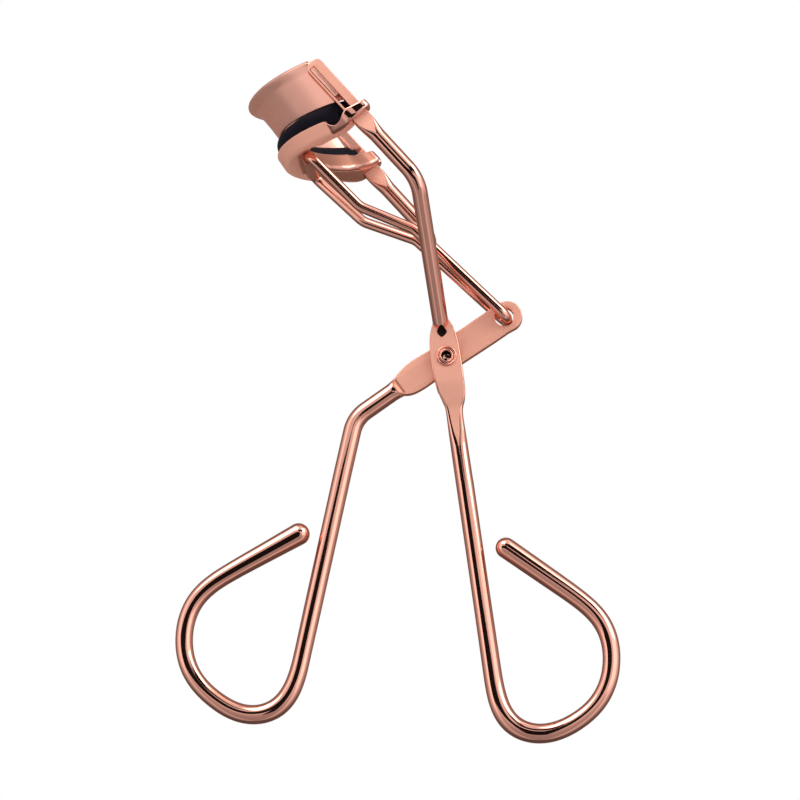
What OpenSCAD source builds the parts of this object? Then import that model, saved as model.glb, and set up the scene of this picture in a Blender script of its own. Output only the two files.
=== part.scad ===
// Eyelash curler: two wire posts carry a fixed curved jaw; a lever on the rivet pushes a link that slides
// the lower jaw, with its soft pad, up the posts. Drawn closed, pad against the fixed jaw.
// Origin: centre of the rivet, on the mid-plane. +X to the fixed handle, +Z to the jaws, Y along the rivet.

/* [Wire] */
// Diameter of the two post wires
post_d = 2.4; // [2:0.1:2.8]
// Diameter of the fixed handle
fixed_d = 2.7; // [2.3:0.1:3.2]
// Diameter of the lever handle
lever_d = 2.8; // [2.3:0.1:3.2]
// Diameter of the link wire
link_d = 1.6; // [1.2:0.1:1.8]

/* [Posts] */
// Heading of the straight upper posts, measured from +X
post_heading = 131.5; // [125:0.5:138]
// Distance from the rivet to the plane of the upper posts
post_back = 12.95; // [11:0.05:15]
// Distance between the two posts, centre to centre
post_gap = 32; // [28:0.5:36]
// Distance along the posts from the rivet's level to the bend
bend_along = 20.1; // [17:0.1:23]
// Centre radius of the bend
bend_r = 5; // [4:0.5:7]
// Distance along the posts to the top of the flattened heads
head_top = 43.9; // [42:0.1:46]
// Width of a flattened head, front to back
head_w = 2.6; // [2.2:0.1:3]
// Thickness of a flattened head
head_t = 1.7; // [1.2:0.1:2]

/* [Pivot] */
// Thickness of each pivot plate on the posts
plate_t = 1.2; // [0.8:0.1:1.6]
// Thickness of the lever's plate
lever_t = 1.4; // [1:0.1:1.8]
// Side gap between the lever and each plate
side_gap = 0.05; // [0.02:0.01:0.1]
// Radius of the rivet's shank
rivet_r = 1.15; // [0.9:0.05:1.3]
// Radius of the blind bore in the rivet's front end
rivet_bore_r = 0.75; // [0.5:0.05:0.9]
// Depth of the rivet's bore below its rim
rivet_bore_l = 3; // [1:0.1:3.4]
// Height the rivet's rim stands above the front plate
rivet_rim = 0.3; // [0.2:0.05:0.4]
// Radial clearance of a turning fit
turn_gap = 0.08; // [0.02:0.01:0.1]
// Heading of the lever's plate, measured from +X
lever_heading = 30.7; // [28:0.1:34]
// Radius of the lever's eye, loose on the link wire
eye_r = 1.3; // [1.1:0.05:1.4]

/* [Jaws] */
// Outer radius of the fixed jaw's band
band_r = 17.5; // [17:0.1:18.5]
// Thickness of the fixed jaw's sheet
band_t = 0.7; // [0.6:0.05:0.8]
// Angle the jaws' meeting plane rises away from square to the posts
jaw_rise = 30; // [26:0.5:34]
// Distance along the posts to the jaws' meeting plane
meet_along = 36.8; // [36:0.1:38]
// Outside width of the lower jaw's tray
tray_w = 4.4; // [4.2:0.1:4.8]
// Height of the tray's walls
tray_h = 2.4; // [2.2:0.1:2.8]
// Sheet thickness of the tray
tray_t = 0.6; // [0.5:0.05:0.8]
// Height of the pad's crown above the tray's underside
pad_h = 4.24; // [3.8:0.02:4.28]

/* [Hidden] */
$fn = 48;
half_gap = post_gap / 2;
plate_in = lever_t / 2 + side_gap;
plate_out = plate_in + plate_t;
plate_mid = (plate_in + plate_out) / 2;
plate_lean = 8.15;
// centre of the jaws' curve, in their meeting plane
meet_back = 5.71;
// tray section: centre of its floor and its lean
tray_r = 14.3;
tray_drop = 4.0;
tray_lean = 22;
// knuckle under the tray that the link turns in
knuckle_out = 6.72;
knuckle_drop = 4.86;
knuckle_r = 1.1;
knuckle_half = 4.5;
// link ends, knees and eye
link_pin = [-20.33, 29.98];
link_eye = [8.84, 6.0];
eye_at = [8.6, 6.2];
big = 60;
swell = 0.05;
run_past = 1;
steel = [0.86, 0.60, 0.50];
wire_steel = [0.80, 0.53, 0.43];
rubber = [0.06, 0.05, 0.09];

// ---------- helpers ----------
function unit(v) = v / norm(v);
function across(u) = abs(u[2]) < 0.9 ? unit(cross([0, 0, 1], u)) : unit(cross([1, 0, 0], u));
function turn(p, i) = acos(unit(p[i] - p[i - 1]) * unit(p[i + 1] - p[i]));
function setback(p, r, i) = i <= 0 || i >= len(p) - 1 ? 0 : r[i - 1] * tan(turn(p, i) / 2);
function flat_pt(q, y = 0) = [q[0], y, q[1]];
// a point on the plane of the upper posts, at distance s along them
function post_pt(s, y) = [s * cos(post_heading) + post_back * sin(post_heading), y,
                          s * sin(post_heading) - post_back * cos(post_heading)];

module put(o, x, z) {
  y = cross(z, x);
  multmatrix([[x[0], y[0], z[0], o[0]], [x[1], y[1], z[1], o[1]], [x[2], y[2], z[2], o[2]], [0, 0, 0, 1]]) children();
}

// round wire along the corner points p, each inner corner bent to the centre radius in r;
// the bends stand proud by the swell and run a little past the straights, so the pieces join cleanly
module wire(p, r, d) {
  for (i = [0 : len(p) - 2]) {
    u = unit(p[i + 1] - p[i]);
    a = p[i] + u * setback(p, r, i);
    b = p[i + 1] - u * setback(p, r, i + 1);
    put(a, across(u), u) cylinder(d = d, h = norm(b - a));
  }
  for (i = [1 : len(p) - 2]) {
    u = unit(p[i] - p[i - 1]);
    n = unit(cross(u, unit(p[i + 1] - p[i])));
    inward = cross(n, u);
    put(p[i] - u * setback(p, r, i) + inward * r[i - 1], -inward, n)
      rotate([0, 0, -run_past]) rotate_extrude(angle = turn(p, i) + 2 * run_past, $fn = 96) translate([r[i - 1], 0]) circle(d = d + swell);
  }
}

// rounded end of a wire
module cap(at, d) { translate(at) sphere(d = d + swell); }

// frames: x away from the jaws, z along the posts; and the jaws' meeting plane, z square to it
module in_posts() { rotate([0, 90 - post_heading, 0]) children(); }
module in_meet() { in_posts() translate([post_back, 0, meet_along]) rotate([0, jaw_rise, 0]) children(); }

// part of a turned section, symmetric about the jaws' centre line
module jaw_sweep(half) {
  in_meet() translate([meet_back, 0, 0]) rotate([0, 0, 180 - half]) rotate_extrude(angle = 2 * half)
    translate([tray_r, -tray_drop]) rotate(-tray_lean) children();
}

module bar(x0, x1, y0, y1, z0, z1) { translate([x0, y0, z0]) cube([x1 - x0, y1 - y0, z1 - z0]); }

module round_rect(x0, x1, y0, y1, r) {
  translate([x0 + r, y0]) square([x1 - x0 - 2 * r, y1 - y0]);
  translate([x0, y0 + r]) square([x1 - x0, y1 - y0 - 2 * r]);
  for (x = [x0 + r, x1 - r], y = [y0 + r, y1 - r]) translate([x, y]) circle(r = r);
}

// ---------- posts ----------
slot_x = [12.3, 13.0];
slot_z = [35.1, 43.1];
flat_start = 31.6;

// flattened head with the slot that takes the fixed jaw's tab
module head() {
  in_posts() difference() {
    translate([post_back, -half_gap, 0]) rotate([90, 0, 0]) linear_extrude(head_t, center = true) {
      translate([-head_w / 2, flat_start - 0.4]) square([head_w, head_top - 1 - flat_start + 0.4]);
      translate([-head_w / 2 + 1, head_top - 2]) square([head_w - 2, 2]);
      for (x = [-1, 1]) translate([x * (head_w / 2 - 1), head_top - 1]) circle(r = 1);
      polygon([[-head_w / 2, flat_start - 0.4], [head_w / 2, flat_start - 0.4], [0.3, 29.4], [-0.3, 29.4]]);
    }
    bar(slot_x[0], slot_x[1], -half_gap - 2, -half_gap + 2, slot_z[0], slot_z[1]);
  }
}

// lens-shaped pivot plate with its rivet hole
module pivot_plate() {
  lens_r = 23;
  lens_w = 4.65;
  difference() {
    translate([0.05, -plate_out, -1.3]) rotate([0, -plate_lean, 0]) intersection() {
      translate([lens_r - lens_w / 2, 0, 0]) rotate([-90, 0, 0]) cylinder(r = lens_r, h = plate_t, $fn = 180);
      translate([lens_w / 2 - lens_r, 0, 0]) rotate([-90, 0, 0]) cylinder(r = lens_r, h = plate_t, $fn = 180);
      bar(-4, 4, -1, 3, -6.9, 7.4);
    }
    rotate([90, 0, 0]) cylinder(r = rivet_r, h = 10, center = true);
  }
}

// one post: head, bend, converging run and pivot plate
module post() {
  plate_top = [-1.04, -plate_mid, 6.5];
  head();
  difference() {
    wire([post_pt(flat_start, -half_gap), post_pt(bend_along, -half_gap), plate_top,
          plate_top + 3 * [sin(plate_lean), 0, -cos(plate_lean)]], [bend_r, 3], post_d);
    // keep clear of the lever
    bar(-5, 5, -plate_in, 3, 0, 5);
  }
  pivot_plate();
}

// fixed handle, from the tongue between the plates to the finger loop's rounded tip
module fixed_handle() {
  tip = [8.75, -28.62];
  last = [24.37, -40.52];
  difference() {
    wire([for (q = [[0.61, -4.9], [7.96, -56.21], [16.24, -56.67], [23.77, -51.26], last, tip]) flat_pt(q)],
         [6.05, 5.7, 7.85, 8.11], fixed_d);
    bar(-5, 5, plate_in, 3, -8.7, 0);
    bar(-5, 5, -3, -plate_in - 0.4, -7.2, 0);
  }
  cap(flat_pt(tip), fixed_d);
}

module front_rod() color(wire_steel) {
  post();
  fixed_handle();
}

module rear_rod() color(wire_steel) mirror([0, 1, 0]) post();

// ---------- fixed jaw ----------
band_c = 21.1;
band_lean = 5.5;
top_rise = 25.5;
tab_z = [37.4, 43.0];

module below_top(d) { in_posts() translate([12.57, 0, 44.5 - d]) rotate([0, top_rise, 0]) bar(-big, big, -big, big, -big, 0); }

// upright disc, leaning back by the given angle about its middle height
module band_disc(c, r, lean) { in_posts() translate([c, 0, 40]) rotate([0, lean, 0]) cylinder(r = r, h = 30, center = true, $fn = 180); }

module upper_jaw() color(steel) {
  // band, cut between the meeting plane and the top plane
  difference() {
    intersection() {
      band_disc(band_c, band_r, band_lean);
      in_meet() bar(-big, big, -15.1, 15.1, 0, big);
      in_posts() bar(0, slot_x[1], -15.1, 15.1, 0, big);
      below_top(0);
    }
    band_disc(band_c, band_r - band_t, band_lean);
  }
  // flared lip, widest in the middle
  difference() {
    intersection() {
      band_disc(band_c + 0.45, band_r, 0);
      in_posts() bar(0, 12, -13.8, 13.8, 0, big);
      below_top(0);
    }
    below_top(0.7);
    band_disc(band_c, band_r - band_t / 2, band_lean);
  }
  // end tabs through the heads' slots
  in_posts() for (s = [-1, 1])
    bar(slot_x[0], slot_x[1], s > 0 ? 14.4 : -16.95, s > 0 ? 16.95 : -14.4, tab_z[0], tab_z[1]);
}

// ---------- lever ----------
module lever() color(steel) {
  tip = [-22.2, -26.34];
  last = [-37.94, -35.7];
  difference() {
    rotate([0, -lever_heading, 0]) rotate([90, 0, 0]) linear_extrude(lever_t, center = true) {
      polygon([[-9.6, -1.0], [-8.45, -1.35], [-7.9, -1.75], [-7.2, -2.0], [-6.3, -2.12], [-5.2, -2.12], [-3.2, -1.98], [0, -1.92],
               [10.9, -1.3], [11, 2.5], [0, 2.42], [-4.2, 2.36], [-5.6, 2.22], [-6.75, 1.96], [-7.7, 1.65], [-8.5, 1.3], [-9.6, 1.0]]);
      translate([10.9, 0.85]) circle(r = 2.25);
    }
    rotate([90, 0, 0]) cylinder(r = rivet_r + turn_gap, h = 10, center = true);
    translate(flat_pt(eye_at)) rotate([90, 0, 0]) cylinder(r = eye_r, h = 10, center = true);
  }
  wire([for (q = [[-7.3, -4.48], [-13.68, -8.95], [-23.41, -53.43], [-32.22, -53.38], [-39.45, -46.17], last, tip]) flat_pt(q)],
       [5.14, 6, 8.6, 8.3, 6.82], lever_d);
  cap(flat_pt(tip), lever_d);
}

// ---------- rivet ----------
// shank with a rolled rim in front, a blind bore behind the rim, and a solid flat head at the back
module pivot_rivet() color(steel) rotate([90, 0, 0]) rotate_extrude() {
  front = plate_out + rivet_rim;
  translate([rivet_bore_r, front - rivet_bore_l]) square([rivet_r - rivet_bore_r, rivet_bore_l]);
  translate([0, -plate_out - 0.2]) square([rivet_r, front - rivet_bore_l + plate_out + 0.2]);
  intersection() {
    translate([rivet_r, plate_out + 0.2]) circle(r = 0.38);
    translate([0, plate_out]) square([3, 1]);
  }
  polygon([[0, -plate_out], [1.5, -plate_out], [1.5, -plate_out - 0.2], [1.2, -plate_out - 0.42], [0, -plate_out - 0.42]]);
}

// ---------- link ----------
module drive_link() color(wire_steel) {
  knee = [-12.8, 22.4];
  neck = [-4.75, 19.15];
  wire([flat_pt(link_pin, -1.5), flat_pt(link_pin, -6.4), flat_pt(knee, -4.6), flat_pt(neck, -3.5), flat_pt(link_eye, -2.3),
        flat_pt(link_eye, 2.3), flat_pt(neck, 3.5), flat_pt(knee, 4.6), flat_pt(link_pin, 6.4), flat_pt(link_pin, 1.5)],
       [1.2, 4, 3, 1.45, 1.45, 3, 4, 1.2], link_d);
}

// ---------- lower jaw ----------
tray_half = 63;
pad_half = 61;
ear_z = [33.0, 35.1];

module tray_outline() {
  w = tray_w / 2;
  polygon([[-w, tray_h - 0.3], [-w, 0.7], [-w + 0.2, 0.25], [-w + 0.6, 0], [w - 0.9, 0], [w - 0.3, 0.25], [w, 0.8], [w, tray_h]]);
}

module lower_jaw() color(steel) difference() {
  union() {
    jaw_sweep(tray_half) tray_outline();
    // ears that ring the posts
    in_posts() for (s = [-1, 1]) translate([0, 0, ear_z[0]]) linear_extrude(ear_z[1] - ear_z[0])
      round_rect(10.9, 14.9, s > 0 ? 13.9 : -17.8, s > 0 ? 17.8 : -13.9, 1.3);
    // bridges from the ears to the ends of the tray
    in_posts() for (s = [-1, 1]) translate([0, 0, ear_z[0] + 0.5]) linear_extrude(ear_z[1] - ear_z[0] - 0.5)
      round_rect(9.8, 11.7, s > 0 ? 11.6 : -16, s > 0 ? 16 : -11.6, 0.8);
  }
  // channel for the pad
  jaw_sweep(pad_half + 0.3) translate([tray_t - tray_w / 2, tray_t]) square([tray_w - 2 * tray_t, 5]);
  // windows for the posts
  in_posts() for (s = [-1, 1])
    bar(post_back - head_w / 2 - 0.1, post_back + head_w / 2 + 0.1, s * half_gap - post_d / 2 - 0.1, s * half_gap + post_d / 2 + 0.1, 20, 50);
  // opening in the floor for the knuckle
  in_meet() bar(-9.1, -7.35, -6.3, 6.3, -6, -2.4);
  // dips in the outer wall before the ears
  in_meet() for (s = [-1, 1]) translate([meet_back, 0, -2.3]) rotate([0, 0, 180 + s * 59]) rotate([0, 90, 0]) translate([0, 0, 15.4]) cylinder(r = 0.9, h = 3);
}

module jaw_pad() color(rubber) difference() {
  w = tray_w / 2 - tray_t - 0.02;
  jaw_sweep(pad_half) polygon([[-w, 0.62], [w, 0.62], [w, 3.1], [w - 0.12, 3.5], [w - 0.4, 3.92], [w - 0.85, 4.17], [0.2, pad_h],
                               [-0.5, 4.19], [-0.95, 4.02], [-1.3, 3.65], [-1.5, 3.2], [-w, 2.6]]);
  jaw_sweep(29) polygon([[-3, 0], [3, 0], [3, 1.12], [-3, 1.12]]);
}

// knuckle: strip inside the tray, web through the floor, and the barrel the link's ends turn in
module link_knuckle() color(steel) difference() {
  union() {
    jaw_sweep(28) polygon([[-1.58, tray_t], [1.3, tray_t], [1.3, 1.1], [-1.58, 1.1]]);
    in_meet() {
      bar(-8.3, -7.4, 0.1 - knuckle_half, knuckle_half - 0.1, -knuckle_drop, -2.98);
      translate([-knuckle_out, 0, -knuckle_drop]) rotate([90, 0, 0]) cylinder(r = knuckle_r, h = 2 * knuckle_half, center = true);
    }
  }
  in_meet() translate([-knuckle_out, 0, -knuckle_drop]) rotate([90, 0, 0]) cylinder(r = link_d / 2 + turn_gap, h = 20, center = true);
}

front_rod();
rear_rod();
upper_jaw();
lever();
pivot_rivet();
drive_link();
lower_jaw();
jaw_pad();
link_knuckle();
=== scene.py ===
import bpy, bmesh, math
import numpy as np
from mathutils import Vector, Matrix


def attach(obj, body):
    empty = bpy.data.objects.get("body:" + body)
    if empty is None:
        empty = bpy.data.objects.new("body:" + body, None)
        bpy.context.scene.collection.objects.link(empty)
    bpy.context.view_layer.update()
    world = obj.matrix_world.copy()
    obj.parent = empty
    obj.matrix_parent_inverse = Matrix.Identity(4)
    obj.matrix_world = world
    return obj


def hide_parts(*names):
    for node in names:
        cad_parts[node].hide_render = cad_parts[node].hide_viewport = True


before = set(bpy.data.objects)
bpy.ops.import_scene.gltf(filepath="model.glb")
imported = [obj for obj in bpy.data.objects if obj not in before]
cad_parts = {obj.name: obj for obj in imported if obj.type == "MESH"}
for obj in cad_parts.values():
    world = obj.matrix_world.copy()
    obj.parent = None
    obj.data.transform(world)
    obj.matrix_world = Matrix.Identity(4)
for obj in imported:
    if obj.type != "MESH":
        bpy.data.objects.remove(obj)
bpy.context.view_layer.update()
rad, cos, sin, pi = math.radians, math.cos, math.sin, math.pi
scn = bpy.context.scene

# =====================================================================
# numbers shared by the pieces (millimetres, the row's frame)
# =====================================================================
HEAD = rad(131.5)                       # heading of the upper posts
POST_BACK, HALF_GAP, MEET = 12.95, 16.0, 36.8
LEVER = rad(30.7)                       # heading of the lever's plate
BAND_C, BAND_R, BAND_LEAN = 21.1, 17.5, rad(5.5)
BAND_HALF = 15.1                        # half width of the band where its ends turn straight
PAD_HALF = 14.7                         # half length of the pad
PAD_END = 13.93                         # middle of each end block of the pad
MEET_LEAN = rad(30)                     # lean of the jaws' meeting plane
TRAY_R, TRAY_DROP, TRAY_LEAN, MEET_BACK = 14.3, 4.0, rad(22), 5.71


def V(*a):
    return np.array(a, float)


def posts(x, y, z):
    """posts frame: x away from the jaws, z along the posts"""
    x, y, z = np.broadcast_arrays(np.asarray(x, float), np.asarray(y, float), np.asarray(z, float))
    return np.stack([x * sin(HEAD) + z * cos(HEAD), y, -x * cos(HEAD) + z * sin(HEAD)], -1)


def meet(x, y, z):
    """the jaws' meeting plane: z square to it"""
    x, y, z = np.broadcast_arrays(np.asarray(x, float), np.asarray(y, float), np.asarray(z, float))
    c, s = cos(MEET_LEAN), sin(MEET_LEAN)
    return posts(POST_BACK + c * x + s * z, y, MEET - s * x + c * z)


def swept(u, r, k):
    """turned jaw section: angle u off the jaws' centre line, radius r and height k in the leaning section"""
    u, r, k = np.broadcast_arrays(np.asarray(u, float), np.asarray(r, float), np.asarray(k, float))
    c, s = cos(TRAY_LEAN), sin(TRAY_LEAN)
    R = TRAY_R + r * c + k * s
    K = -TRAY_DROP - r * s + k * c
    return meet(MEET_BACK - R * np.cos(u), -R * np.sin(u), K)


def lever_at(s, y, w):
    """lever's plate frame: s along it, w across it"""
    s, y, w = np.broadcast_arrays(np.asarray(s, float), np.asarray(y, float), np.asarray(w, float))
    return np.stack([s * cos(LEVER) - w * sin(LEVER), y, s * sin(LEVER) + w * cos(LEVER)], -1)


# =====================================================================
# mesh tools
# =====================================================================
def ease(t):
    t = np.clip(t, 0, 1)
    return t * t * (3 - 2 * t)


def table(x, rows):
    """smooth monotone curve through rows of (x, value, value ...)"""
    rows = np.array(rows, float)
    xs, out = rows[:, 0], []
    for ys in rows[:, 1:].T:
        h = np.diff(xs)
        d = np.diff(ys) / h
        m = np.zeros(len(xs))
        m[0], m[-1] = d[0], d[-1]
        for i in range(1, len(xs) - 1):
            if d[i - 1] * d[i] > 0:
                w1, w2 = 2 * h[i] + h[i - 1], h[i] + 2 * h[i - 1]
                m[i] = (w1 + w2) / (w1 / d[i - 1] + w2 / d[i])
        i = np.clip(np.searchsorted(xs, x, side="right") - 1, 0, len(xs) - 2)
        t = np.clip((x - xs[i]) / h[i], 0, 1)
        out.append((2 * t**3 - 3 * t**2 + 1) * ys[i] + (t**3 - 2 * t**2 + t) * h[i] * m[i]
                   + (3 * t**2 - 2 * t**3) * ys[i + 1] + (t**3 - t**2) * h[i] * m[i + 1])
    return out if len(out) > 1 else out[0]


def unit(v):
    return v / np.linalg.norm(v, axis=-1, keepdims=True)


def fillet(points, radii, step=0.35):
    """dense path along corner points, each inner corner bent to its radius"""
    p = [np.array(q, float) for q in points]
    out = [p[0]]
    for i in range(1, len(p) - 1):
        a, b = unit(p[i] - p[i - 1]), unit(p[i + 1] - p[i])
        turn = math.acos(np.clip(a @ b, -1, 1))
        r = radii[i - 1]
        back = r * math.tan(turn / 2)
        side = unit(b - (a @ b) * a)
        centre = p[i] - a * back + side * r
        n = max(4, int(turn * r / (step * .6)))
        out += [centre - side * r * cos(t) + a * r * sin(t) for t in np.linspace(0, turn, n + 1)]
    out.append(p[-1])
    q = [out[0]]
    for a, b in zip(out[:-1], out[1:]):
        L = np.linalg.norm(b - a)
        if L < 1e-9:
            continue
        n = max(1, int(L / step))
        q += [a + (b - a) * k / n for k in range(1, n + 1)]
    return np.array(q)


def bent(start, heading, knots, end, step=.3):
    """path in the middle plane grown from its curvature, given as (arc length, curvature)"""
    s = np.linspace(0, end, int(end / step) + 1)
    d = np.diff(s)
    k = np.interp(s, [q[0] for q in knots], [q[1] for q in knots])
    h = rad(heading) + np.r_[0, np.cumsum((k[1:] + k[:-1]) / 2 * d)]
    run = lambda f: np.r_[0, np.cumsum((f[1:] + f[:-1]) / 2 * d)]
    return s, np.stack([start[0] + run(np.cos(h)), 0 * s, start[1] + run(np.sin(h))], -1)


def frames(path, side):
    """tangent and two square directions carried along the path without twist"""
    t = unit(np.gradient(path, axis=0))
    n = np.zeros_like(t)
    n[0] = unit(side - (side @ t[0]) * t[0])
    for i in range(1, len(t)):
        v = n[i - 1] - (n[i - 1] @ t[i]) * t[i]
        n[i] = unit(v)
    return t, n, np.cross(t, n)


def length(path):
    return np.r_[0, np.cumsum(np.linalg.norm(np.diff(path, axis=0), axis=1))]


class Piece:
    def __init__(self):
        self.v, self.f, self.m, self.n = [], [], [], 0

    def add(self, v, f, m=0):
        v = np.asarray(v, float).reshape(-1, 3)
        self.v.append(v)
        self.f += [tuple(i + self.n for i in q) for q in f]
        self.m += m if isinstance(m, list) else [m] * len(f)
        self.n += len(v)

    def grid(self, g, ring=True, caps=(True, True), loop=False, m=0):
        """g: rows x columns x 3; ring closes the columns, loop closes the rows"""
        g = np.asarray(g, float)
        a, b = g.shape[:2]
        f, mm = [], []
        for i in range(a if loop else a - 1):
            for j in range(b if ring else b - 1):
                i2, j2 = (i + 1) % a, (j + 1) % b
                f.append((i * b + j, i * b + j2, i2 * b + j2, i2 * b + j))
                mm.append(m(i, j) if callable(m) else m)
        v = g.reshape(-1, 3)
        if ring and not loop:
            if caps[0]:
                f.append(tuple(range(b))[::-1])
            if caps[1]:
                f.append(tuple(range((a - 1) * b, a * b)))
        self.add(v, f, mm + [mm[-1]] * (len(f) - len(mm)))

    def plate(self, outlines, depth, bevel, place, m=0, edge=None):
        """flat plate with holes from closed outlines, its edges rounded;
        place maps (x, y, z) to the row frame"""
        cu = bpy.data.curves.new("tmp", "CURVE")
        cu.dimensions, cu.fill_mode = "2D", "BOTH"
        cu.extrude, cu.bevel_depth, cu.bevel_resolution, cu.offset = depth / 2 - bevel, bevel, 3, -bevel
        for o in outlines:
            s = cu.splines.new("POLY")
            s.use_cyclic_u = True
            s.points.add(len(o) - 1)
            s.points.foreach_set("co", np.c_[np.array(o, float), np.zeros(len(o)),
                np.ones(len(o))].astype(np.float32).ravel())
        ob = bpy.data.objects.new("tmp", cu)
        me = bpy.data.meshes.new_from_object(ob)
        co = np.zeros(len(me.vertices) * 3, np.float32)
        me.vertices.foreach_get("co", co)
        co = co.reshape(-1, 3)
        self.add(place(co[:, 0], co[:, 1], co[:, 2]), [tuple(p.vertices) for p in me.polygons],
                 [m if edge is None or abs(p.normal.z) > .95 else edge for p in me.polygons])
        bpy.data.objects.remove(ob)
        bpy.data.curves.remove(cu)
        bpy.data.meshes.remove(me)

    def mesh(self):
        me = bpy.data.meshes.new("piece")
        me.from_pydata((np.concatenate(self.v) * .001).tolist(), [], self.f)
        me.polygons.foreach_set("material_index", np.array(self.m, np.int32))
        bm = bmesh.new()
        bm.from_mesh(me)
        bmesh.ops.remove_doubles(bm, verts=bm.verts, dist=1e-7)
        bmesh.ops.recalc_face_normals(bm, faces=bm.faces)
        bm.to_mesh(me)
        bm.free()
        return me

    def take(self, other):
        self.add(np.concatenate(other.v), other.f, list(other.m))

    def cut(self, *cutters):
        """take the cutters' volumes out of this piece"""
        ob = bpy.data.objects.new("cut", self.mesh())
        scn.collection.objects.link(ob)
        tools = [ob]
        for m in MATS:
            ob.data.materials.append(m)
        for c in cutters:
            cm = c.mesh()
            [cm.materials.append(m) for m in MATS]
            co = bpy.data.objects.new("cutter", cm)
            scn.collection.objects.link(co)
            tools.append(co)
            md = ob.modifiers.new("cut", "BOOLEAN")
            md.operation, md.solver, md.object = "DIFFERENCE", "EXACT", co
        bpy.context.view_layer.update()
        me = bpy.data.meshes.new_from_object(ob.evaluated_get(bpy.context.evaluated_depsgraph_get()))
        co = np.zeros(len(me.vertices) * 3, np.float32)
        me.vertices.foreach_get("co", co)
        out = Piece()
        out.add(co.reshape(-1, 3) * 1000., [tuple(p.vertices) for p in me.polygons],
            [min(p.material_index, 3) for p in me.polygons])
        for o in tools:
            bpy.data.objects.remove(o)
        return out

    def build(self, name, node, body, mats, slot, sharp=32):
        me = self.mesh()
        me.name = name
        for m in mats:
            me.materials.append(m)
        ob = bpy.data.objects.new(name, me)
        scn.collection.objects.link(ob)
        me.polygons.foreach_set("use_smooth", np.ones(len(me.polygons), bool))
        me.set_sharp_from_angle(angle=rad(sharp))
        me.update()
        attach(ob, body)
        if node:
            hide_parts(node)
        return ob


def tube(pc, path, radius, side=V(0, 1, 0), n=40, round0=False, round1=False, squash=None, m=0):
    """round wire; radius per path point; rounded ends swell out of the end points"""
    path = np.array(path, float)
    radius = np.broadcast_to(np.asarray(radius, float), (len(path),)).copy()
    t, a, b = frames(path, side)
    ang = np.linspace(0, 2 * pi, n, endpoint=False)
    ring = lambda c, r, a, b: c + r * (np.cos(ang)[:, None] * a + np.sin(ang)[:, None] * b)
    g = [ring(path[i], radius[i], a[i], b[i]) for i in range(len(path))]
    q = np.linspace(0, 1, 13)[1:]
    if round1:
        g += [ring(path[-1] + t[-1] * radius[-1] * sin(x * pi / 2), max(radius[-1] * cos(x * pi / 2),
            1e-3), a[-1], b[-1]) for x in q]
    if round0:
        g = [ring(path[0] - t[0] * radius[0] * sin(x * pi / 2), max(radius[0] * cos(x * pi / 2), 1e-3),
            a[0], b[0]) for x in q[::-1]] + g
    g = np.array(g)
    if squash is not None:
        g = squash(g)
    pc.grid(g, m=m)


def rounded(a0, a1, b0, b1, r0, r1, n=9):
    """closed section between a0..a1 and b0..b1; corners r0 on the b0 side, r1 on the b1 side"""
    r0 = min(r0, (a1 - a0) / 2, (b1 - b0))
    r1 = min(r1, (a1 - a0) / 2, (b1 - b0) - r0 + 1e-6)
    pts = []
    for cx, cy, r, s in ((a1 - r0, b0 + r0, r0, -90), (a1 - r1, b1 - r1, r1, 0), (a0 + r1, b1 - r1, r1,
            90), (a0 + r0, b0 + r0, r0, 180)):
        for k in range(n):
            t = rad(s + 90 * k / (n - 1))
            pts.append((cx + r * cos(t), cy + r * sin(t)))
    return pts


def arc(cx, cy, r, a0, a1, n):
    return [(cx + r * cos(rad(t)), cy + r * sin(rad(t))) for t in np.linspace(a0, a1, n)]


def circle(cx, cy, r, n=64):
    return [(cx + r * cos(t), cy + r * sin(t)) for t in np.linspace(0, 2 * pi, n, endpoint=False)]


# =====================================================================
# materials
# =====================================================================
class Nodes:
    def __init__(self, tree):
        self.t = tree

    def new(self, kind, **kw):
        n = self.t.nodes.new("ShaderNode" + kind)
        for k, v in kw.items():
            if k.startswith("i_"):
                n.inputs[int(k[2:]) if k[2:].isdigit() else k[2:].replace("_", " ")].default_value = v
            else:
                setattr(n, k, v)
        return n

    def link(self, a, b):
        self.t.links.new(a, b)

    def math(self, op, a, b=None, clamp=False):
        n = self.new("Math", operation=op, use_clamp=clamp)
        for i, x in enumerate((a, b)):
            if x is None:
                continue
            if isinstance(x, (int, float)):
                n.inputs[i].default_value = x
            else:
                self.link(x, n.inputs[i])
        return n.outputs[0]

    def ramp(self, fac, stops, interp="LINEAR"):
        n = self.new("ValToRGB")
        r = n.color_ramp
        r.interpolation = interp
        while len(r.elements) < len(stops):
            r.elements.new(.5)
        for e, (p, c) in zip(r.elements, stops):
            e.position = p
            e.color = (c, c, c, 1) if isinstance(c, (int, float)) else (*c, 1)
        self.link(fac, n.inputs[0])
        return n.outputs[0]

    def noise(self, vec, scale, detail=3, rough=.5, dist=0):
        n = self.new("TexNoise", i_Scale=scale, i_Detail=detail, i_Roughness=rough, i_Distortion=dist)
        self.link(vec, n.inputs["Vector"])
        return n.outputs["Fac"]


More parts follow.
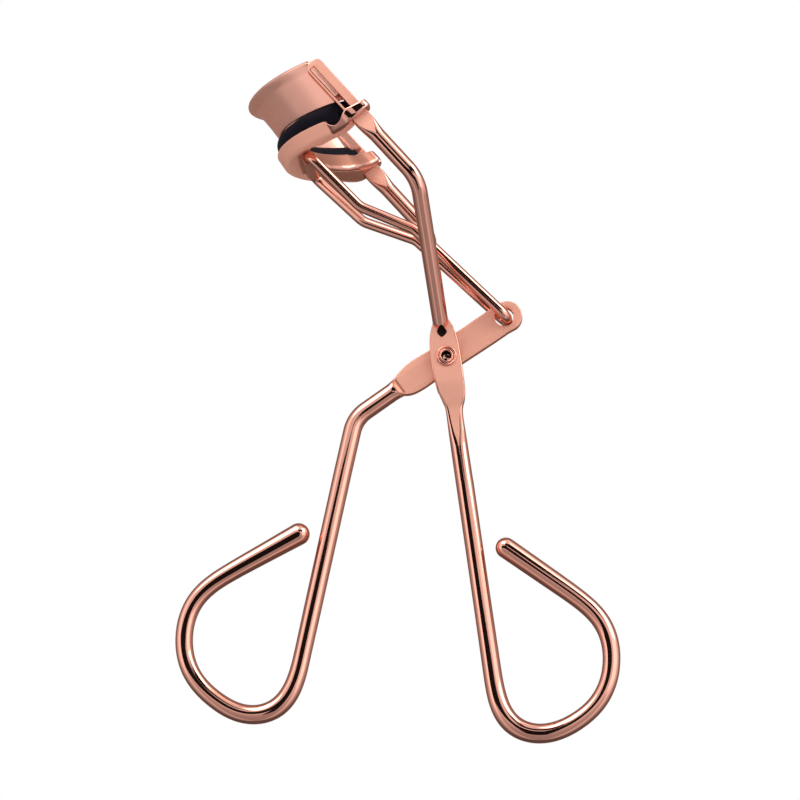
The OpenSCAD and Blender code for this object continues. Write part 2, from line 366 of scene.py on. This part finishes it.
def plating(name, base, rough, grain, stretch=(1, 1, 1), wear=.06, bump=.02, mottle=.05, metal=1.):
    """rose-gold plating: colour, roughness and height all vary with noise in object space"""
    m = bpy.data.materials.new(name)
    m.use_nodes = True
    k = Nodes(m.node_tree)
    b = m.node_tree.nodes["Principled BSDF"]
    tc = k.new("TexCoord")
    mp = k.new("Mapping")
    mp.inputs["Scale"].default_value = stretch
    k.link(tc.outputs["Object"], mp.inputs[0])
    big = k.noise(tc.outputs["Object"], 140, 3, .55)
    fine = k.noise(mp.outputs[0], grain, 4, .65)
    scratch = k.noise(mp.outputs[0], grain * 3.1, 2, .5, .4)
    col = k.new("Mix", data_type="RGBA", blend_type="MIX")
    col.inputs["A"].default_value = (*[c * (1 - mottle) for c in base], 1)
    col.inputs["B"].default_value = (*[min(1, c * (1 + mottle)) for c in base], 1)
    k.link(k.ramp(big, [(.3, 0.), (.7, 1.)]), col.inputs["Factor"])
    k.link(col.outputs["Result"], b.inputs["Base Color"])
    b.inputs["Metallic"].default_value = metal
    b.inputs["Specular Tint"].default_value = (.95, .55, .42, 1)
    r = k.math("ADD", k.math("MULTIPLY", fine, wear), rough - wear / 2)
    r = k.math("ADD", r, k.math("MULTIPLY", k.ramp(big, [(.55, 0.), (.75, 1.)]), wear * .5), True)
    k.link(r, b.inputs["Roughness"])
    h = k.math("ADD", k.math("MULTIPLY", fine, .7), k.math("MULTIPLY", scratch, .3))
    bp = k.new("Bump", i_Strength=bump, i_Distance=.0002)
    k.link(h, bp.inputs["Height"])
    k.link(bp.outputs[0], b.inputs["Normal"])
    return m


ROSE = (.87, .415, .32)
polish = plating("rose_gold_polished", ROSE, .07, 900, wear=.04, bump=.015, mottle=.03)
satin = plating("rose_gold_satin", (.765, .364, .268), .42, 2600, wear=.08, bump=.07, mottle=.03,
    metal=.32)
brushed = plating("rose_gold_brushed", (.96, .48, .375), .16, 1500, stretch=(1, 1, .08), wear=.07,
    bump=.03, mottle=.03, metal=.7)

# near-black: painted shade on the rivet's bore wall and a painted black reflection in the front post's
# dimple
painted_black = plating("painted_shade_and_reflection", (.012, .005, .006), .6, 1500, wear=.1, bump=.1, mottle=.2, metal=.1)
painted_black.node_tree.nodes["Principled BSDF"].inputs["Specular IOR Level"].default_value = .06
# darker copy of the rose gold used as painted shade on the tray's inner wall and far underside, the lever's
# step and the knuckle
shade = plating("rose_gold_painted_shade", (.50, .215, .15), .34, 1800, wear=.08, bump=.06, mottle=.04, metal=.7)
pad_m = bpy.data.materials.new("pad_rubber")
pad_m.use_nodes = True
MATS = (polish, satin, painted_black, shade)
k = Nodes(pad_m.node_tree)
b = pad_m.node_tree.nodes["Principled BSDF"]
tc = k.new("TexCoord")
nz = k.noise(tc.outputs["Object"], 500, 4, .6)
k.link(k.ramp(nz, [(.3, (.003, .0025, .006)), (.75, (.007, .0055, .012))]), b.inputs["Base Color"])
k.link(k.math("ADD", k.math("MULTIPLY", nz, .18), .46), b.inputs["Roughness"])
b.inputs["Specular IOR Level"].default_value = .08
bp = k.new("Bump", i_Strength=.12, i_Distance=.0002)
k.link(k.noise(tc.outputs["Object"], 3500, 2, .5), bp.inputs["Height"])
k.link(bp.outputs[0], b.inputs["Normal"])

# =====================================================================
# front post and fixed handle (one wire), rear post
# =====================================================================
HW, HT = 1.3, .85                       # flattened head: half width, half thickness


def post(pc, s, wire=True, head=True):
    """s = -1 front, +1 rear"""
    # straight run, bend and converging run; the head's flats fade out where the wire is still round
    P = lambda z: posts(POST_BACK, s * HALF_GAP, z).reshape(3)
    foot = V(-.80, s * 1.35, 4.7)
    path = fillet([P(34.3), P(20.1), foot, foot + unit(foot - P(20.1)) * 1.2], [5.2, 40])
    t, a, b = frames(path, V(0, 1, 0))
    L = length(path)
    g = []
    half = table(L, [(0, 1.31), (2.5, 1.31), (5.1, 1.2), (60, 1.15)])
    thick = table(L, [(0, .86), (1.9, .86), (5.1, 1.2), (60, 1.15)])
    corner = table(L, [(0, .16), (2.3, .2), (3.5, .5), (5.5, 1.2), (60, 1.15)])
    for i in range(len(path)):
        q = rounded(-half[i], half[i], -thick[i], thick[i], corner[i], corner[i])
        g.append([path[i] + x * b[i] + y * a[i] for x, y in q])
    g = np.array(g)
    near = g[..., 2] < 8
    g[..., 1] = np.where(near, s * np.maximum(s * g[..., 1], .80), g[..., 1])
    # the tip tapers and sinks into the plate
    left = (L[-1] - L) / 1.9
    w = np.clip(left, 0, 1) ** .55
    mid = path[:, None, :]
    g = mid + (g - mid) * (.55 + .45 * w)[:, None, None]
    g[..., 1] -= s * .62 * (1 - ease(left))[:, None]
    if wire:
        pc.grid(g, m=lambda i, j: 1 if L[i] < 5 and j in (17, 35) else 0)
    if not head:
        return
    # slotted head
    w = HW
    o = [(-w, 31.8), (w, 31.8)] + arc(w - .95, 42.95, .95, 0, 90, 12) + arc(-w + .95, 42.95, .95, 90, 180,
        12)
    slot = [(-.92, 34.6), (-.12, 34.6), (-.12, 43.1), (-.92, 43.1)]
    pc.plate([o, slot], 2 * HT, .11, lambda x, y, z: posts(POST_BACK + x, s * HALF_GAP + z, y), m=1,
        edge=0)


HU = unit(V(7.96 - .61, 0, -56.21 + 4.9))
HC = V(-HU[2], 0, HU[0])
HO = V(.61, 0, -4.9)


def drill(x, z, r, y0, y1):
    """round cutter along y"""
    c = Piece()
    t = np.linspace(0, 2 * pi, 72, endpoint=False)
    c.grid(np.array([[(x + r * cos(a), y, z + r * sin(a)) for a in t] for y in (y0, y1)]))
    return c


def scoop(x, z, rx, rz, y0, depth, tilt):
    """flat-bottomed shallow cutter; its faces carry material 2, so the cut is painted near-black as a
    painted reflection
    """
    c = Piece()
    t = np.linspace(0, 2 * pi, 48, endpoint=False)
    rows = [(1.0, -1.6), (1.0, 0)] + [(q, depth * (1 - q**4) ** .5) for q in (.97, .9, .8, .65, .45, .2,
        .03)]
    # rounded diamond
    u, v = [np.sign(f(t)) * np.abs(f(t)) ** 1.45 for f in (np.cos, np.sin)]
    c.grid(np.array([[(x + rx * q * a, y0 + y + tilt * rx * q * a, z + rz * q * b) for a, b in zip(u, v)]
        for q, y in rows]), m=2)
    return c


dimple = lambda: scoop(-.68, 3.74, .78, .88, -2.0, .32, .085)
front, part = Piece(), Piece()
post(part, -1, head=False)
front.take(part.cut(dimple()))
post(front, -1, wire=False)
# pivot plate running down into the handle: distance along the handle, then its two lateral limits
LENS = [(-10.6, -1.05, 1.2), (-10.1, -1.26, 1.42), (-9.3, -1.6, 1.74), (-8.0, -1.98, 2.04),
        (-6.9, -2.14, 2.15), (-5.2, -2.28, 2.22), (-3.7, -2.28, 2.23), (-2.2, -2.2, 2.21),
        (-.9, -2.07, 2.17), (.3, -1.86, 2.12), (1.0, -1.68, 2.04), (1.9, -1.42, 1.84),
        (2.6, -1.22, 1.52), (3.3, -1.2, 1.32), (4.6, -1.22, 1.26), (7, -1.27, 1.29),
        (16, -1.33, 1.33)]
sv = np.r_[np.linspace(-10.6, 4, 64), np.linspace(4.3, 14, 34)]
lo, hi = table(sv, LENS)
yf, yb = table(sv, [(-10.6, -1.95, -.75), (-1.5, -1.95, -.75), (1.2, -1.6, -.3), (3.0, -1.25, 1.25),
    (4.5, -1.2, 1.3), (9, -1.28, 1.32), (16, -1.33, 1.33)])
cf, cb = table(sv, [(-10.6, .2, .12), (0, .2, .15), (1.4, .28, .5), (2.6, .42, 1.2), (4.5, .58, 1.25),
    (6.5, .85, 1.27), (8.6, 1.2, 1.3), (16, 1.33, 1.33)])
g = [[HO + HU * s + HC * x + V(0, y, 0) for x, y in rounded(l, h, f, b_, r0, r1)] for s, l, h, f, b_, r0,
    r1 in zip(sv, lo, hi, yf, yb, cf, cb)]
part = Piece()
flat = lambda i, j: 1 if j in (17, 35) and sv[i] < 8.6 else 0
part.grid(np.array(g), caps=(True, True), m=flat)
# distance along the wire and curvature per mm; these numbers came out of a curve fit
FIXED_BENDS = [(37, 0), (41, .0487), (46, .1892), (51, .132), (56, .0633), (61, .1068),
               (67, .0776), (73, .1167), (78, .0256), (82, 0)]
L, path = bent((1.40, -10.11), -82.02, FIXED_BENDS, 91.2)
keep = L > 8.4
tube(front, path[keep], table(L[keep], [(8, 1.33), (25, 1.34), (37, 1.38), (46, 1.5), (52, 1.45),
    (60, 1.33), (66, 1.31), (75, 1.38), (83, 1.48), (92, 1.56)]), round1=True)

front.take(part.cut(drill(0, 0, 1.2, -3, .4), dimple()))
front.build("front_rod_forged", "front_rod", "frame", [polish, satin, painted_black], "wire")

rear = Piece()
post(rear, 1)
sv = np.linspace(-10.6, 1.6, 52)
lo, hi = table(sv, LENS)
tip = np.sqrt(np.clip((1.62 - sv) / 1.9, 0, 1))
tip = np.minimum(1, tip)
g = [[HO + HU * s + HC * (x * w + .25 * (1 - w)) + V(0, y, 0) for x, y in rounded(l, h, .75, 1.95, .12,
    .2)] for s, l, h, w in zip(sv, lo, hi, tip)]
part = Piece()
part.grid(np.array(g), m=1)
rear.take(part.cut(drill(0, 0, 1.2, .4, 3)))
rear.build("rear_rod_forged", "rear_rod", "frame", [polish, satin], "wire")

# =====================================================================
# lever: plate with rivet hole and eye, forged step, thumb loop
# =====================================================================
lever = Piece()
low = np.array([(-8.5, -1.35), (-8.0, -1.68), (-7.2, -2.0), (-6.3, -2.14), (-5.2, -2.16), (-3.2, -2.02),
    (0, -1.92), (4, -1.76), (8, -1.56), (9.9, -1.42)])
top = np.array([(-8.5, 1.28), (-7.7, 1.66), (-6.75, 1.98), (-5.6, 2.24), (-4.2, 2.36), (-2, 2.36),
    (0, 2.44), (4, 2.68), (8, 2.96), (10.3, 3.08)])
xs = np.linspace(-8.5, 9.9, 60)
xt = np.linspace(10.3, -8.5, 60)
o = list(zip(xs, table(xs, low))) + arc(10.95, .82, 2.3, -84, 84, 40) + list(zip(xt, table(xt, top)))
ex, ew = 8.6 * cos(LEVER) + 6.2 * sin(LEVER), -8.6 * sin(LEVER) + 6.2 * cos(LEVER)
lever.plate([o, circle(0, 0, 1.2), circle(ex, ew, 1.4)], 1.4, .14, lambda x, y, z: lever_at(x, z, y), m=1,
    edge=0)
# step: the flat swells into round wire within a millimetre, then the wire runs on
start = (-15.49, -17.09)
# distance along the wire and curvature per mm; these numbers came out of a curve fit
LEVER_BENDS = [(28, 0), (32, -.0625), (37, -.1846), (42, -.1388), (47, -.0502), (52, -.1077),
               (58, -.079), (64, -.1172), (70, -.0148), (74, 0)]
run, curve = bent(start, -102.17, LEVER_BENDS, 81.9)
path = fillet([lever_at(-7.6, 0, -.02).reshape(3), V(-13.68, 0, -8.95), V(start[0], 0, start[1])], [5.14])
at0 = length(path)[-1]
path = np.concatenate([path, curve[1:]])
L = length(path)
t, a, b_ = frames(path, V(0, 1, 0))
g = []
far = [(at0 + q, r) for q, r in ((0, 1.35), (20, 1.33), (28, 1.3), (37, 1.46), (44, 1.4), (52, 1.32),
    (60, 1.31), (68, 1.36), (76, 1.5), (82, 1.65))]
half = table(L, [(0, 1.55), (.9, 1.42), (1.6, 1.36), (4, 1.36)] + far)
thick = table(L, [(0, .66), (.62, .72), (1.25, 1.22), (2.0, 1.36), (4, 1.36)] + far)
corner = table(L, [(0, .15), (.6, .3), (1.3, .9), (2.2, 1.36), (4, 1.36)] + far)
for i in range(len(path)):
    g.append([path[i] + x * b_[i] + y * a[i] for x, y in rounded(-half[i], half[i], -thick[i], thick[i],
        corner[i], corner[i])])
for x in np.linspace(0, 1, 13)[1:]:
    r = half[-1] * max(cos(x * pi / 2), 1e-3)
    g.append([path[-1] + t[-1] * half[-1] * sin(x * pi / 2) + u * b_[-1] + w * a[-1] for u,
        w in rounded(-r, r, -r, r, r, r)])
# on one side of the forged step the faces take material 2, the darker copy of the rose gold: painted shade
lever.grid(np.array(g), m=lambda i, j: 2 if i < len(L) and .35 < L[i] < 1.25 and (j > 26 or j < 8) else 0)
lever.build("lever_forged", "lever", "lever_arm", [polish, satin, shade], "wire")

# =====================================================================
# tubular rivet with rolled heads
# =====================================================================
rivet = Piece()
bead = lambda c, y, r, a0, a1: [(c + r * cos(rad(t)), y - r * sin(rad(t))) for t in np.linspace(a0, a1,
    9)]
prof = [(.02, .05), (.5, .03), (.7, -.05), (.74, -.2), (.74, -.7), (.74, -1.5), (.74, -2.0)] + bead(.91,
    -2.06, .17, 180, 20) + [(1.13, -1.97)] \
    + bead(1.36, -1.97, .2, 150, -10) + [(1.48, -1.93), (1.15, -1.93), (1.15, 0), (1.15, 1.93),
    (1.45, 1.93), (1.5, 1.98), (1.5, 2.12), (1.42, 2.2), (1.0, 2.25), (.5, 2.28), (.02, 2.29)]
ang = np.linspace(0, 2 * pi, 72, endpoint=False)
# the bore's wall rows take the near-black second material: painted shade inside the bore
rivet.grid(np.array([[(r * cos(t), y, r * sin(t)) for t in ang] for r, y in prof]), m=lambda i,
    j: 1 if 3 <= i <= 5 else 0)
rivet.build("pivot_rivet_rolled", "pivot_rivet", "frame", [polish, painted_black], "sheet")

# =====================================================================
# link
# =====================================================================
link = Piece()
pin, eye2, knee, neck = (-20.33, 29.98), (9.02, 5.83), (-12.8, 22.4), (-4.75, 19.15)
at = lambda q, y: V(q[0], y, q[1])
path = fillet([at(pin, -1.5), at(pin, -6.4), at(knee, -4.6), at(neck, -3.5), at(eye2, -2.3),
    at(eye2, 2.3), at(neck, 3.5), at(knee, 4.6), at(pin, 6.4), at(pin, 1.5)],
              [1.2, 4, 3, 1.45, 1.45, 3, 4, 1.2], .25)
tube(link, path, .8, side=V(0, 0, 1), n=32)
link.build("drive_link_wire", "drive_link", "link", [polish], "wire")

# =====================================================================
# fixed jaw
# =====================================================================
jaw = Piece()
FE = math.asin(BAND_HALF / BAND_R)
T = .7
over = np.linspace(1.35, .15, 5)
g = []
for f, o in [(-FE, q) for q in over] + [(q, 0) for q in np.linspace(-FE, FE, 97)] + [(FE, q)
        for q in over[::-1]]:
    base_x = BAND_C - BAND_R * cos(f) + o
    z0 = MEET + (POST_BACK - base_x) * math.tan(rad(30)) + .06 
    z1 = 44.5 + (12.57 - base_x) * math.tan(rad(25.5))
    flare = 1.05 * max(0, cos(f * 1.35)) ** 1.2
    hs = np.r_[np.linspace(0, .7, 9), np.linspace(.73, 1, 14)]

    def skin(h, off):
        z = z0 + (z1 - z0) * h
        lean = (z - 40) * math.tan(BAND_LEAN)
        out = flare * (.2 * ease((h - .3) / .7) + .88 * ease((h - .77) / .25) ** 1.1)
        r = BAND_R + out + off
        return posts(BAND_C + lean * (o == 0) - r * cos(f) + o, r * sin(f) if not o
            else math.copysign(BAND_HALF + off, f), z)
    col = [skin(h, 0) for h in hs]
    rim = [skin(1, -T / 2 + T / 2 * cos(rad(a))) + posts(0, 0, T * .35 * sin(rad(a))) for a in (30, 60,
        90, 120, 150)]
    inn = [skin(h, -T) for h in hs[::-1]]
    rim2 = [skin(0, -T / 2 - T / 2 * cos(rad(a))) - posts(0, 0, T * .25 * sin(rad(a))) for a in (30, 90,
        150)]
    g.append(np.array(col + rim + inn + rim2))
jaw.grid(np.array(g), m=0)
for s in (-1, 1):
    jaw.plate([[(12.08, 37.5), (12.74, 37.5), (12.76, 42.98), (12.08, 42.98)]], 2.6, .06, lambda x, y,
        z: posts(x, s * 15.62 + z, y), m=0)
jaw.build("upper_jaw_band", "upper_jaw", "frame", [brushed], "sheet")

# =====================================================================
# lower jaw: channel, straps and ears
# =====================================================================
tray = Piece()
W = 2.2
TT = .6
def channel(h_out, h_in, d=.75):
    """thin U section; the floor's underside falls toward the inner wall"""
    pts = []
    pts += [(W, h_out - .12), (W - .06, h_out - .02), (W - .2, h_out), (W - TT + .2, h_out),
        (W - TT + .05, h_out - .03), (W - TT, h_out - .14)]
    pts += [(W - TT, y) for y in np.linspace(h_out - .2, TT + .3, 4)] + [(W - TT - .08, TT + .08),
        (W - TT - .3, TT)]
    pts += [(x, TT) for x in np.linspace(W - TT - .5, -W + TT + .5, 5)] + [(-W + TT + .3, TT),
        (-W + TT + .08, TT + .08)]
    pts += [(-W + TT, y) for y in np.linspace(TT + .3, h_in - .2, 4)] + [(-W + TT, h_in - .14),
        (-W + TT - .05, h_in - .03), (-W + TT - .2, h_in), (-W + .2, h_in), (-W + .06, h_in - .02),
        (-W, h_in - .12)]
    ri, ro = .7, .6
    under = lambda x: -d * (W - x) / (2 * W)
    pts += [(-W, y) for y in np.linspace(h_in - .3, ri - d, 5)] + [(-W + ri - ri * cos(rad(t)), ri - d
        - ri * sin(rad(t)) + .02) for t in (15, 30, 45, 60, 75, 90)]
    pts += [(x, under(x)) for x in np.linspace(-W + ri + .3, W - ro - .3, 7)] + [(W - ro
        + ro * sin(rad(t)), ro - ro * cos(rad(t))) for t in (0, 15, 30, 45, 60, 75, 90)]
    pts += [(W, y) for y in np.linspace(ro + .15, h_out - .3, 5)]
    return pts


def at_section(po, pi_, ho, hi_, squeeze=1., lift=0., solid=False, blend=1., d=0.):
    """channel section hung between an outer and an inner base corner"""
    q = np.array(channel(ho, hi_, d))
    if solid:
        q[:, 1] = np.where((np.abs(q[:, 0]) < W - TT + .09) & (q[:, 1] > .01) & (q[:, 1] < 9),
            np.maximum(q[:, 1], np.interp(q[:, 0], [-W + TT, W - TT], [hi_ - .02, ho - .02])), q[:, 1])
    f = q[:, 0] / (2 * W) * squeeze + .5
    out = pi_ + (po - pi_) * f[:, None]
    e = unit(po - pi_)
    upw = np.stack([0 * e[..., 0], -e[..., 2], e[..., 1]], -1)
    upw = unit(upw * (1 if upw[2] > 0 else -1))
    if blend < 1:
        upw = unit(upw * blend + UP0 * (1 - blend))
    return out + upw * (q[:, 1] * (1 - lift * .22) + lift * .25)[:, None]


def from_row(p):
    """row frame to posts coordinates"""
    return np.array([p[0] * sin(HEAD) - p[2] * cos(HEAD), p[1], p[0] * cos(HEAD) + p[2] * sin(HEAD)])


U0 = 55
UP0 = from_row(swept(rad(U0), 0, 1).reshape(3)) - from_row(swept(rad(U0), 0, 0).reshape(3))
UP0 = UP0 * V(1, -1, 1)
uu = np.linspace(-rad(U0), rad(U0), 111)
body_rows = []
for u in uu:
    q = np.array(channel(2.4, 2.08, .1 + .65 * float(ease((abs(math.degrees(u)) - 24) / 14))))
    body_rows.append(swept(u, q[:, 0], q[:, 1]))
# ear: outer and inner base corners (posts frame), wall heights
corner_at = lambda u, r: from_row(swept(rad(u), r, 0).reshape(3)) * V(1, -1, 1)
EAR = [(0, *corner_at(55, W), *corner_at(55, -W), 2.4, 2.08), (.6, *corner_at(57, W), *corner_at(57, -W),
    2.38, 2.1), (1.2, *corner_at(59, W), *corner_at(59, -W), 2.2, 2.14),
       (2.0, 8.75, 14.75, 33.66, 11.35, 10.98, 33.95, 1.55, 2.15), (2.7, 9.35, 15.5, 33.35, 11.85, 11.5,
    33.65, 1.2, 2.2), (3.5, 10.05, 16.35, 33.08, 12.35, 12.05, 33.4, 1.3, 2.25),
       (4.5, 10.9, 17.2, 32.9, 12.9, 12.65, 33.2, 1.75, 2.5), (5.5, 11.75, 17.65, 32.85, 13.4, 13.15,
    33.1, 2.0, 2.4), (6.7, 12.8, 17.8, 32.85, 13.9, 13.5, 33.02, 1.75, 2.3),
       (8.1, 14.1, 17.8, 32.9, 14.5, 13.75, 33.0, 1.4, 2.1), (9.1, 15.1, 17.8, 32.95, 15.1, 13.8, 33.0,
    1.2, 1.8)]
tau = np.r_[np.linspace(.15, 8.3, 56), 8.32, np.linspace(8.36, 9.1, 12)]
cols = table(tau, EAR)
ear_rows = {}
for s in (-1, 1):
    rows = []
    for i, q in enumerate(tau):
        po, pi_ = V(cols[0][i], cols[1][i], cols[2][i]), V(cols[3][i], cols[4][i], cols[5][i])
        e = max(0, (q - 7.8) / 1.3)
        sq = 1 - .42 * (1 - math.sqrt(max(0, 1 - e * e)))
        p = at_section(po, pi_, float(cols[6][i]), float(cols[7][i]), sq,
            1 - math.sqrt(max(0, 1 - max(0, (q - 8.5) / .62) ** 2)) if q < 9.12 else 1, q > 8.31,
            float(ease(q / 3.6)), .75 * (1 - float(ease(q / 4.5))))
        p[:, 1] *= s
        rows.append(posts(p[:, 0], p[:, 1], p[:, 2]))
    ear_rows[s] = rows
g = ear_rows[1][::-1] + body_rows + ear_rows[-1]
n_ear, n_all = len(tau), len(g)
outline = channel(2.4, 2.1)
n_col = len(outline)
low = [j for j, (x, y) in enumerate(channel(2.4, 2.1)) if x < -W + .72 and y < .0]


def polish_or_painted_shade(i, j):
    """polished where the sheet is drawn over the ears and round the lower corners; painted shade (the darker
    material 3) on the inner wall's face and on the far side's underside
    """
    d = min(i, n_all - 2 - i)
    x0, y0 = outline[j]
    if d >= 12 and (x0 < -W + .02 and y0 < 2.2 or (y0 < -.0 and x0 > -W + .72 and i < n_ear + 22)):
        return 3
    return 1 if (d < n_ear - 9 and (j < 6 or j > n_col - 12)) or d < 14 or (j in low
        and (j + 1) in low) else 0


part = Piece()
part.grid(np.array(g), m=polish_or_painted_shade)
windows = []
for s in (-1, 1):
    c = Piece()
    o = [(11.55, 14.7), (14.35, 14.7), (14.35, 17.3), (11.55, 17.3)]
    c.grid(np.array([posts(V(*[x for x, y in o]), s * V(*[y for x, y in o]), z) for z in (30, 40)]))
    windows.append(c)
tray.take(part.cut(*windows))
tray.build("lower_jaw_tray", "lower_jaw", "sliding_jaw", [satin, polish, painted_black, shade], "sheet", sharp=38)

# =====================================================================
# pad
# =====================================================================
pad = Piece()
g = []
w = W - TT - .02
sec = np.array([(-w, .62), (w, .62), (w, 1.5), (w, 2.4), (w, 3.1), (w - .05, 3.35), (w - .2, 3.68),
    (w - .42, 3.94), (w - .7, 4.13), (w - 1.0, 4.23), (w - 1.4, 4.27), (.2, 4.26),
                (-.35, 4.26), (-.62, 4.38), (-.9, 4.46), (-1.2, 4.34), (-1.42, 4.02), (-w, 3.5),
    (-w, 2.7), (-w, 2.0), (-w, 1.2)])
for u in np.linspace(-rad(66), rad(66), 111):
    d = abs(math.degrees(u))
    drop = 1 - .2 * float(ease((d - 62.5) / 3.5)) ** 1.4
    q = sec.copy()
    q[:, 1] = .62 + (q[:, 1] - .62) * drop
    p = swept(u, q[:, 0], q[:, 1])
    p[:, 1] = np.clip(p[:, 1], -PAD_HALF, PAD_HALF)
    g.append(p)
pad.grid(np.array(g), m=0)
for s in (-1, 1):
    o = [(11.2, 34.0), (12.95, 33.7), (12.95, 36.68), (11.2, 37.68)]
    pad.plate([o], 1.5, .22, lambda x, y, z: posts(x, s * PAD_END + z, y), m=0)
pad.build("jaw_pad_soft", "jaw_pad", "sliding_jaw", [pad_m], "pad", sharp=50)

# =====================================================================
# knuckle
# =====================================================================
kn = Piece()
ang = np.linspace(0, 2 * pi, 40, endpoint=False)
prof = [(.86, -4.42), (.92, -4.5), (1.02, -4.5), (1.1, -4.42), (1.1, -2), (1.1, 0), (1.1, 2), (1.1, 4.42),
    (1.02, 4.5), (.92, 4.5), (.86, 4.42), (.86, 2), (.86, 0), (.86, -2)]
kn.grid(np.array([meet(-6.72 + r * np.cos(ang), y, -4.86 + r * np.sin(ang)) for r, y in prof]), loop=True,
    m=0)
kn.plate([[(-4.4, -4.7), (4.4, -4.7), (4.4, -3.0), (-4.4, -3.0)]], .7, .15, lambda x, y,
    z: meet(-7.99 + z, x, y), m=0)
us = np.linspace(-rad(28), rad(28), 41)
q = np.array([(-1.56, .61), (1.28, .61), (1.28, 1.0), (1.2, 1.08), (-1.48, 1.08), (-1.56, 1.0)])
kn.grid(np.array([swept(u, q[:, 0], q[:, 1]) for u in us]), m=0)
# the whole knuckle is in the darker copy of the rose gold, a painted shade
kn.build("link_knuckle_barrel", "link_knuckle", "sliding_jaw", [shade], "sheet")

# =====================================================================
# studio: camera, world, cards, floor
# =====================================================================
AZ, EL, DIST, SCALE = rad(2.8), rad(-12.3), .8, 6.7
back = Vector((sin(AZ) * cos(EL), -cos(AZ) * cos(EL), sin(EL)))
right = Vector((cos(AZ), sin(AZ), 0))
up = back.cross(right)
cam = bpy.data.objects.new("camera", bpy.data.cameras.new("camera"))
scn.collection.objects.link(cam)
scn.camera = cam
cam.data.sensor_width, cam.data.lens = 36, 241.2
cam.matrix_world = Matrix.Translation(back * DIST - right * .0468 / SCALE
    - up * .0412 / SCALE) @ Matrix((right, up, back)).transposed().to_4x4()
cam.data.clip_start, cam.data.clip_end = .01, 50
scn.view_settings.view_transform = "Standard"

world = bpy.data.worlds.new("studio")
scn.world = world
world.use_nodes = True
k = Nodes(world.node_tree)
world.node_tree.nodes.clear()
tc = k.new("TexCoord")
sep = k.new("SeparateXYZ")
k.link(tc.outputs["Generated"], sep.inputs[0])
x, y, z = sep.outputs
azim = k.math("DIVIDE", k.math("ABSOLUTE", k.math("ARCTAN2", x, k.math("MULTIPLY", y, -1))), pi)
elev = k.math("ADD", k.math("DIVIDE", k.math("ARCSINE", z), pi), .5)
ring = k.ramp(azim, [(0, .86), (.2, .84), (.26, .95), (.3, 1.6), (.38, 1.6), (.44, .9), (.54, .8),
    (.60, .32), (.82, .26), (1, .3)])
tall = k.ramp(elev, [(0, .40), (.28, .45), (.40, .60), (.48, .95), (.6, 1.), (.8, 1.05), (1, 1.1)])
side = k.ramp(k.math("ADD", k.math("MULTIPLY", x, .5), .5), [(0, .9), (.3, .95), (.5, 1.), (1, 1.1)])
val = k.math("MULTIPLY", k.math("MULTIPLY", ring, tall), side)
env = k.new("Background")
k.link(val, env.inputs[1])
env.inputs[0].default_value = (1, 1, 1, 1)
white = k.new("Background")
white.inputs[0].default_value = (1, 1, 1, 1)
lp = k.new("LightPath")
mx = k.new("MixShader")
out = k.new("OutputWorld")
k.link(lp.outputs["Is Camera Ray"], mx.inputs[0])
k.link(env.outputs[0], mx.inputs[1])
k.link(white.outputs[0], mx.inputs[2])
k.link(mx.outputs[0], out.inputs[0])


BLACK = .01                             # strength of the black cards


def card(name, y, pts, value):
    """flat card at one depth y, from (x, z) corners in millimetres; seen only in reflections"""
    m = bpy.data.materials.new(name)
    m.use_nodes = True
    n = Nodes(m.node_tree)
    m.node_tree.nodes.clear()
    e = n.new("Emission")
    e.inputs[0].default_value = (1, 1, 1, 1)
    e.inputs[1].default_value = value
    o = n.new("OutputMaterial")
    n.link(e.outputs[0], o.inputs[0])
    me = bpy.data.meshes.new(name)
    me.from_pydata([(x * .001, y * .001, z * .001) for x, z in pts], [], [tuple(range(len(pts)))])
    me.materials.append(m)
    ob = bpy.data.objects.new(name, me)
    scn.collection.objects.link(ob)
    for ray in ("camera", "diffuse", "shadow", "transmission", "volume_scatter"):
        setattr(ob, "visible_" + ray, False)
    return ob


card("strip_right", -171, [(130, -80), (260, -80), (240, 30), (110, 30)], 1.7)
card("flag_middle", -170, [(-9, 26), (46, 20), (52, 58), (18, 100), (-24, 100), (-24, 60), (-7, 48)], BLACK)
card("flag_left", -170, [(-184, -62), (-22, -62), (-22, -141), (30, -141), (40, -62), (45, -30), (45, -8),
    (12, -4), (8, 14), (2, 23), (-25, 23), (-70, 30), (-184, 8)], BLACK)
card("flag_high", -172, [(-40, 88), (44, 70), (44, 112), (-40, 116)], BLACK)
card("flag_corner", -172, [(44, 58), (150, 52), (170, 160), (96, 150), (44, 96)], BLACK)

me = bpy.data.meshes.new("floor")
me.from_pydata([(-4, -4, -.0588), (4, -4, -.0588), (4, 4, -.0588), (-4, 4, -.0588)], [], [(0, 1, 2, 3)])
floor = bpy.data.objects.new("floor", me)
scn.collection.objects.link(floor)
m = bpy.data.materials.new("floor")
m.use_nodes = True
n = Nodes(m.node_tree)
pb = m.node_tree.nodes["Principled BSDF"]
pb.inputs["Base Color"].default_value = (.9, .89, .88, 1)
pb.inputs["Roughness"].default_value = .8
pb.inputs["Specular IOR Level"].default_value = .1
geo = n.new("NewGeometry")
tr = n.new("BsdfTransparent")
ms = n.new("MixShader")
n.link(geo.outputs["Backfacing"], ms.inputs[0])
n.link(pb.outputs[0], ms.inputs[1])
n.link(tr.outputs[0], ms.inputs[2])
n.link(ms.outputs[0], m.node_tree.nodes["Material Output"].inputs[0])
me.materials.append(m)
floor.visible_glossy = False


def softbox(name, at_, size, power, aim=(0, 0, 0)):
    l = bpy.data.lights.new(name, "AREA")
    l.shape = "RECTANGLE"
    l.size, l.size_y = size
    l.energy = power
    o = bpy.data.objects.new(name, l)
    scn.collection.objects.link(o)
    o.location = at_
    o.rotation_euler = (Vector(aim) - Vector(at_)).to_track_quat("-Z", "Y").to_euler()
    return o


softbox("key", (-.25, -.35, .55), (.5, .4), 2.0)
softbox("fill", (.45, -.25, .35), (.4, .4), 1.2)
